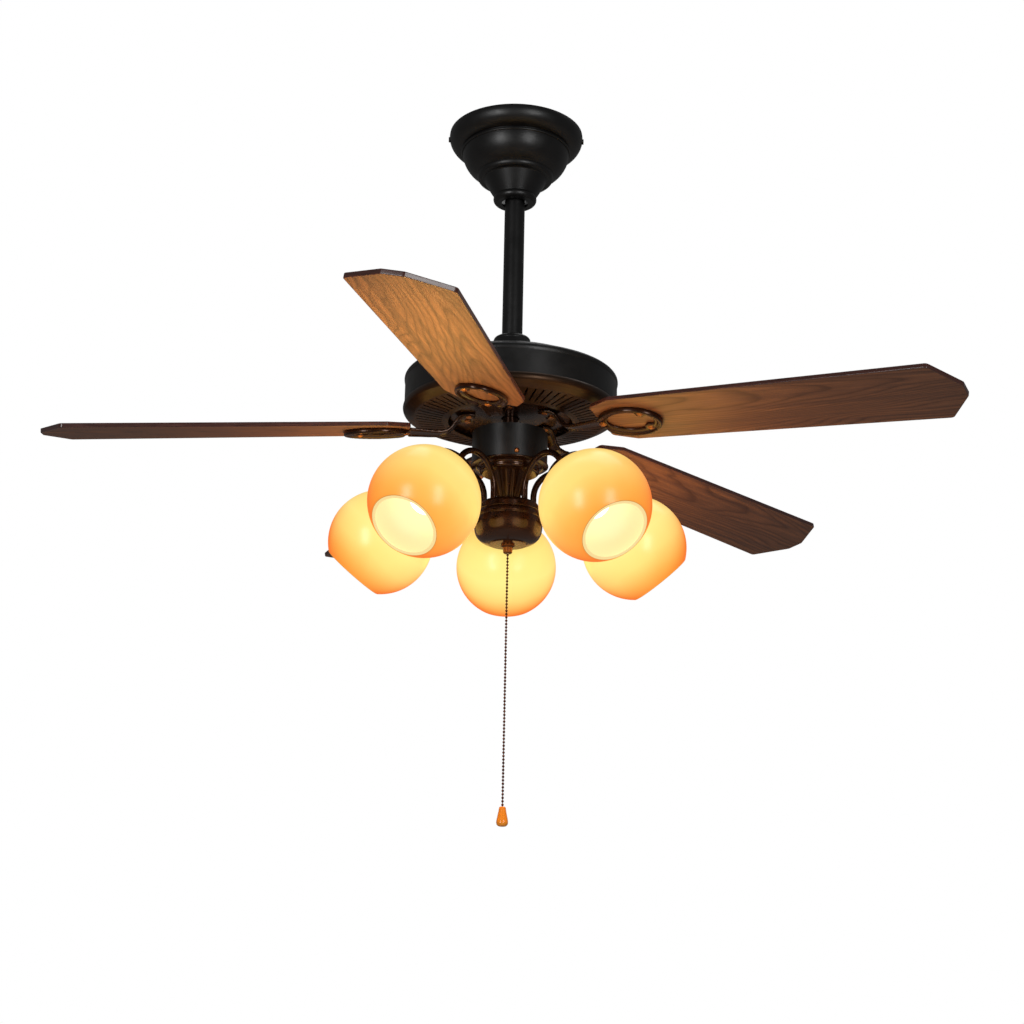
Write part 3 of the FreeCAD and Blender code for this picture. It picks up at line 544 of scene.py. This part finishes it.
# Where each blade is cut from the veneer, in metres along, across and through it.
GRAIN_SHIFTS = [(0.9, 0.018, 0.0), (4.2, -0.030, 0.2), (7.7, 0.004, 0.4), (2.35, -0.012, 0.6),
                (11.3, 0.035, 0.8)]


def add_blades():
    for number, azimuth in enumerate(blade_azimuths(), 1):
        blade = new_piece("walnut_blade_%d" % number, build_blade(), ["veneer", "band"],
                          blade_matrix(azimuth), Vector(GRAIN_SHIFTS[number - 1]))
        weighted = blade.modifiers.new("flat faces", "WEIGHTED_NORMAL")
        weighted.keep_sharp = True
        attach(blade, "rotor")
        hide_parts("blade_%d" % number)


# ---------------------------------------------------------------- blade irons
IRON_SCREW_ANGLE = 50.0       # of the two outer screws, round the ring
RING_BAND = 9.5 * MM
RING_SECTION = [(4.6, 0.0), (4.9, 3.2), (4.4, 5.8), (2.9, 7.0), (1.3, 6.6), (0.0, 5.0), (-2.4, 4.0),
                (-6.0, 3.5), (-6.8, 2.0), (-6.5, 0.0)]           # mm: outward, down from the blade's face
ARM_LINE = [(46, -403.9), (56, -403.9), (63, -404.6), (68.5, -408.0), (72.5, -413.6), (76.5, -420.0),
            (82, -424.8), (90, -427.0), (102, -427.5), (116, -427.3), (130, -427.3)]  # mm: outward, height
ARM_WIDTHS = [28, 30, 27, 22, 19, 18, 18.5, 20, 22.5, 26, 30]  # mm, one for each point of the line
ARM_SECTION = [(-1.0, 0.0), (-1.0, 1.6), (-0.93, 3.6), (-0.80, 4.4), (-0.66, 3.8), (-0.52, 2.8), (0.0, 2.6),
               (0.52, 2.8), (0.66, 3.8), (0.80, 4.4), (0.93, 3.6), (1.0, 1.6), (1.0, 0.0)]
# half widths across, mm down
SCREW_PAD_R = 7.6 * MM
SCREW_PAD_DEPTH = 4 * MM
CASTING_VOXEL = 0.85 * MM
NECK_HALF_ANGLE = 17          # degrees of the ring on each side of the arm where the rim stays low
NECK_BLEND = 14               # degrees over which the rim rises from there


def skin_rings(built, rings, closed):
    """Quads between neighbouring rings of vertices; an open run gets end caps."""
    pairs = list(zip(rings, rings[1:])) + ([(rings[-1], rings[0])] if closed else [])
    for low, high in pairs:
        for index in range(len(low)):
            after = (index + 1) % len(low)
            built.faces.new([low[index], low[after], high[after], high[index]])
    if not closed:
        built.faces.new(rings[0])
        built.faces.new(rings[-1])


def iron_ring(built):
    """Oval cradle: a raised rim and a sloping inner flange, open to a low neck at the arm."""
    count = 96
    rings = []
    for step in range(count):
        angle = 2 * math.pi * step / count
        middle = Vector(((RING_HALF_LENGTH - RING_BAND / 2) * math.cos(angle),
                         (RING_HALF_WIDTH - RING_BAND / 2) * math.sin(angle)))
        outward = Vector((middle.x / (RING_HALF_LENGTH ** 2), middle.y / (RING_HALF_WIDTH ** 2))).normalized()
        from_arm = abs(math.degrees(angle) - 180)
        rise = min(1.0, max(0.0, (from_arm - NECK_HALF_ANGLE) / NECK_BLEND))
        ring = []
        for across, down in RING_SECTION:
            depth = min(down, 4.0) + max(0.0, down - 4.0) * rise
            flat = middle + outward * across * MM
            place = Vector((RING_CENTRE + flat.x, flat.y, -BLADE_THICKNESS / 2 - depth * MM))
            ring.append(built.verts.new(place))
        rings.append(ring)
    skin_rings(built, rings, closed=True)
    for angle in (IRON_SCREW_ANGLE, -IRON_SCREW_ANGLE):
        spot = Vector((RING_CENTRE + (RING_HALF_LENGTH - RING_BAND) * math.cos(math.radians(angle)),
                       (RING_HALF_WIDTH - RING_BAND) * math.sin(math.radians(angle)),
                       -BLADE_THICKNESS / 2 - SCREW_PAD_DEPTH / 2))
        bmesh.ops.create_cone(built, cap_ends=True, segments=32, radius1=SCREW_PAD_R, radius2=SCREW_PAD_R,
                              depth=SCREW_PAD_DEPTH, matrix=Matrix.Translation(spot))


def iron_arm(built):
    """S-shaped strap with a bead along both edges, from the motor to the cradle's neck."""
    rings = []
    for index, ((out, height), width) in enumerate(zip(ARM_LINE, ARM_WIDTHS)):
        before = Vector(ARM_LINE[max(index - 1, 0)])
        after = Vector(ARM_LINE[min(index + 1, len(ARM_LINE) - 1)])
        along = (after - before).normalized()
        below = Vector((along.y, -along.x))
        if below.y > 0:
            below = -below
        ring = []
        for across, depth in ARM_SECTION:
            offset = below * (depth - 1.4)
            place = ((out + offset.x) * MM, across * width / 2 * MM, (height + offset.y) * MM)
            ring.append(built.verts.new(place))
        rings.append(ring)
    skin_rings(built, rings, closed=False)


def cast_iron_mesh():
    """The ring, arm and foot run together into one casting with softened corners."""
    built = bmesh.new()
    iron_ring(built)
    built.transform(blade_matrix(0))
    iron_arm(built)
    bmesh.ops.recalc_face_normals(built, faces=built.faces)
    data = bpy.data.meshes.new("iron_blank")
    built.to_mesh(data)
    built.free()
    blank = bpy.data.objects.new("iron_blank", data)
    bpy.context.collection.objects.link(blank)
    run_together = blank.modifiers.new("cast", "REMESH")
    run_together.mode = "VOXEL"
    run_together.voxel_size = CASTING_VOXEL
    soften = blank.modifiers.new("soften", "SMOOTH")
    soften.factor = 0.5
    soften.iterations = 7
    depsgraph = bpy.context.evaluated_depsgraph_get()
    result = bpy.data.meshes.new_from_object(blank.evaluated_get(depsgraph))
    bpy.data.objects.remove(blank)
    return result


def add_irons():
    casting = cast_iron_mesh()
    for number, azimuth in enumerate(blade_azimuths(), 1):
        built = bmesh.new()
        built.from_mesh(casting)
        iron = new_piece("cast_iron_%d" % number, built, ["gloss"], turn(azimuth, "Z"))
        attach(iron, "rotor")
        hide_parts("blade_iron_%d" % number)


# ---------------------------------------------------------------- pull chain
CHAIN_ROUTE = [(0.0, 0.0, -0.5810), (0.0, 0.0, -0.6860), (0.0, 0.0, -0.7910), (0.0, 0.0, -0.8960)]
CHAIN_R = 1.6 * MM
BEAD_PITCH = 4.2 * MM
LINK_R = 0.55 * MM


def route_points(route):
    """Points along the smooth NURBS line that has the route as its control points."""
    data = bpy.data.curves.new("route", "CURVE")
    data.dimensions = "3D"
    data.resolution_u = 24
    spline = data.splines.new("NURBS")
    spline.points.add(len(route) - 1)
    for point, place in zip(spline.points, route):
        point.co = (*place, 1.0)
    spline.order_u = 3
    spline.use_endpoint_u = True
    holder = bpy.data.objects.new("route", data)
    bpy.context.collection.objects.link(holder)
    line = bpy.data.meshes.new_from_object(holder)
    points = [vertex.co.copy() for vertex in line.vertices]
    bpy.data.objects.remove(holder)
    return points


def spaced(points, pitch):
    """Evenly spaced places along a run of points, with the direction at each."""
    places = []
    due = pitch / 2
    gone = 0.0
    for here, ahead in zip(points, points[1:]):
        step = (ahead - here).length
        while gone + step >= due:
            places.append((here.lerp(ahead, (due - gone) / step), (ahead - here).normalized()))
            due += pitch
        gone += step
    return places


def add_chain():
    points = route_points(CHAIN_ROUTE)
    built = bmesh.new()
    for place, direction in spaced(points, BEAD_PITCH):
        facing = direction.to_track_quat("Z", "X").to_matrix().to_4x4()
        bmesh.ops.create_uvsphere(built, u_segments=16, v_segments=10, radius=CHAIN_R,
                                  matrix=Matrix.Translation(place) @ facing)
        link = Matrix.Translation(place + direction * BEAD_PITCH / 2) @ facing
        bmesh.ops.create_cone(built, cap_ends=True, segments=8, radius1=LINK_R, radius2=LINK_R,
                              depth=BEAD_PITCH - 1.4 * CHAIN_R, matrix=link)
    chain = new_piece("ball_chain", built, ["chain"])
    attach(chain, "pull_chain")
    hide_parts("pull_chain")
    return chain, points


def add_fob():
    low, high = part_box("fob")
    top, bottom = high[2], low[2]
    radius = 7.2 * MM
    profile = [(0, top), (1.2 * MM, top), (3.0 * MM, top - 0.1 * MM), (3.9 * MM, top - 0.8 * MM),
               (4.2 * MM, top - 2.2 * MM), (4.6 * MM, top - 5.0 * MM), (5.5 * MM, top - 9.5 * MM),
               (6.5 * MM, top - 14.0 * MM), (7.1 * MM, top - 17.2 * MM), (radius, top - 19.0 * MM),
               (7.0 * MM, bottom + 3.4 * MM), (6.3 * MM, bottom + 1.8 * MM), (4.9 * MM, bottom + 0.7 * MM),
               (2.8 * MM, bottom + 0.15 * MM), (0, bottom)]
    fob = new_piece("pull_fob", lathe(profile, 40), ["fob"])
    smooth = fob.modifiers.new("smooth", "SUBSURF")
    smooth.levels = smooth.render_levels = 2
    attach(fob, "pull_chain")
    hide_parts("fob")
    return fob


def add_pull():
    chain, points = add_chain()
    fob = add_fob()


# ---------------------------------------------------------------- stage and lights
FLOOR_Z = -3.0
FLOOR_R = 7.0
LIT_MIDDLE = (0, 0, -0.40)
LAMP_POWER = 2.0
LAMP_COLOUR = (1.0, 0.50, 0.13)
BACKDROP_STRENGTH = 1.0       # of the world as the camera sees it
AMBIENT_STRENGTH = 0.12       # of the world as a light


def add_floor():
    data = bpy.data.meshes.new("floor")
    built = bmesh.new()
    bmesh.ops.create_circle(built, cap_ends=True, segments=96, radius=FLOOR_R,
                            matrix=Matrix.Translation((0, 0, FLOOR_Z)))
    built.to_mesh(data)
    built.free()
    finish = Finish("pale_floor")
    cloud = finish.noise(finish.place(), 1.2, 3)
    finish.set(Base_Color=finish.ramp(cloud, [(0.3, (0.80, 0.80, 0.79)), (0.7, (0.86, 0.86, 0.85))]),
               Roughness=finish.between(cloud, 0.75, 0.9))
    data.materials.append(finish.material)
    floor = bpy.data.objects.new("floor", data)
    bpy.context.collection.objects.link(floor)


def area_light(name, place, target, size, power, colour=(1, 1, 1), spread=180):
    data = bpy.data.lights.new(name, "AREA")
    data.shape = "RECTANGLE"
    data.size, data.size_y = size
    data.energy = power
    data.color = colour
    data.spread = math.radians(spread)
    light = bpy.data.objects.new(name, data)
    bpy.context.collection.objects.link(light)
    aim(light, place, target)


def globe_lights():
    """Warm light that the shades throw on the blades and the motor."""
    for number, azimuth in enumerate(globe_azimuths(), 1):
        data = bpy.data.lights.new("lamp_%d" % number, "POINT")
        data.energy = LAMP_POWER
        data.color = LAMP_COLOUR
        data.shadow_soft_size = 0.05
        light = bpy.data.objects.new("lamp_%d" % number, data)
        bpy.context.collection.objects.link(light)
        light.matrix_world = globe_matrix(azimuth)


def add_world():
    """A white backdrop for the camera that lights the fan only dimly."""
    world = bpy.data.worlds.new("studio")
    bpy.context.scene.world = world
    world.use_nodes = True
    tree = world.node_tree
    shown = tree.nodes["Background"]
    lighting = tree.nodes.new("ShaderNodeBackground")
    for background, strength in ((shown, BACKDROP_STRENGTH), (lighting, AMBIENT_STRENGTH)):
        background.inputs["Color"].default_value = (1, 1, 1, 1)
        background.inputs["Strength"].default_value = strength
    ray = tree.nodes.new("ShaderNodeLightPath")
    both = tree.nodes.new("ShaderNodeMixShader")
    tree.links.new(ray.outputs["Is Camera Ray"], both.inputs[0])
    tree.links.new(lighting.outputs[0], both.inputs[1])
    tree.links.new(shown.outputs[0], both.inputs[2])
    tree.links.new(both.outputs[0], tree.nodes["World Output"].inputs["Surface"])


def add_lights():
    area_light("key_left", (-1.5, -2.4, -0.6), LIT_MIDDLE, (0.7, 1.6), 26)
    area_light("key_right", (1.3, -2.5, -0.6), LIT_MIDDLE, (0.7, 1.6), 22)
    area_light("top_fill", (0.4, 0.6, 2.2), LIT_MIDDLE, (2.5, 2.5), 24)
    area_light("warm_fill", (-0.09, -0.43, -1.6), (-0.085, -0.42, -0.42), (0.3, 0.3), 0.8,
               colour=(1.0, 0.60, 0.17), spread=20)
    globe_lights()
    add_world()


def main():
    add_camera()
    make_materials()
    dress_nodes()
    add_pull()
    add_globes()
    add_blades()
    add_irons()
    add_floor()
    add_lights()
    bpy.context.scene.view_settings.view_transform = "Standard"


main()
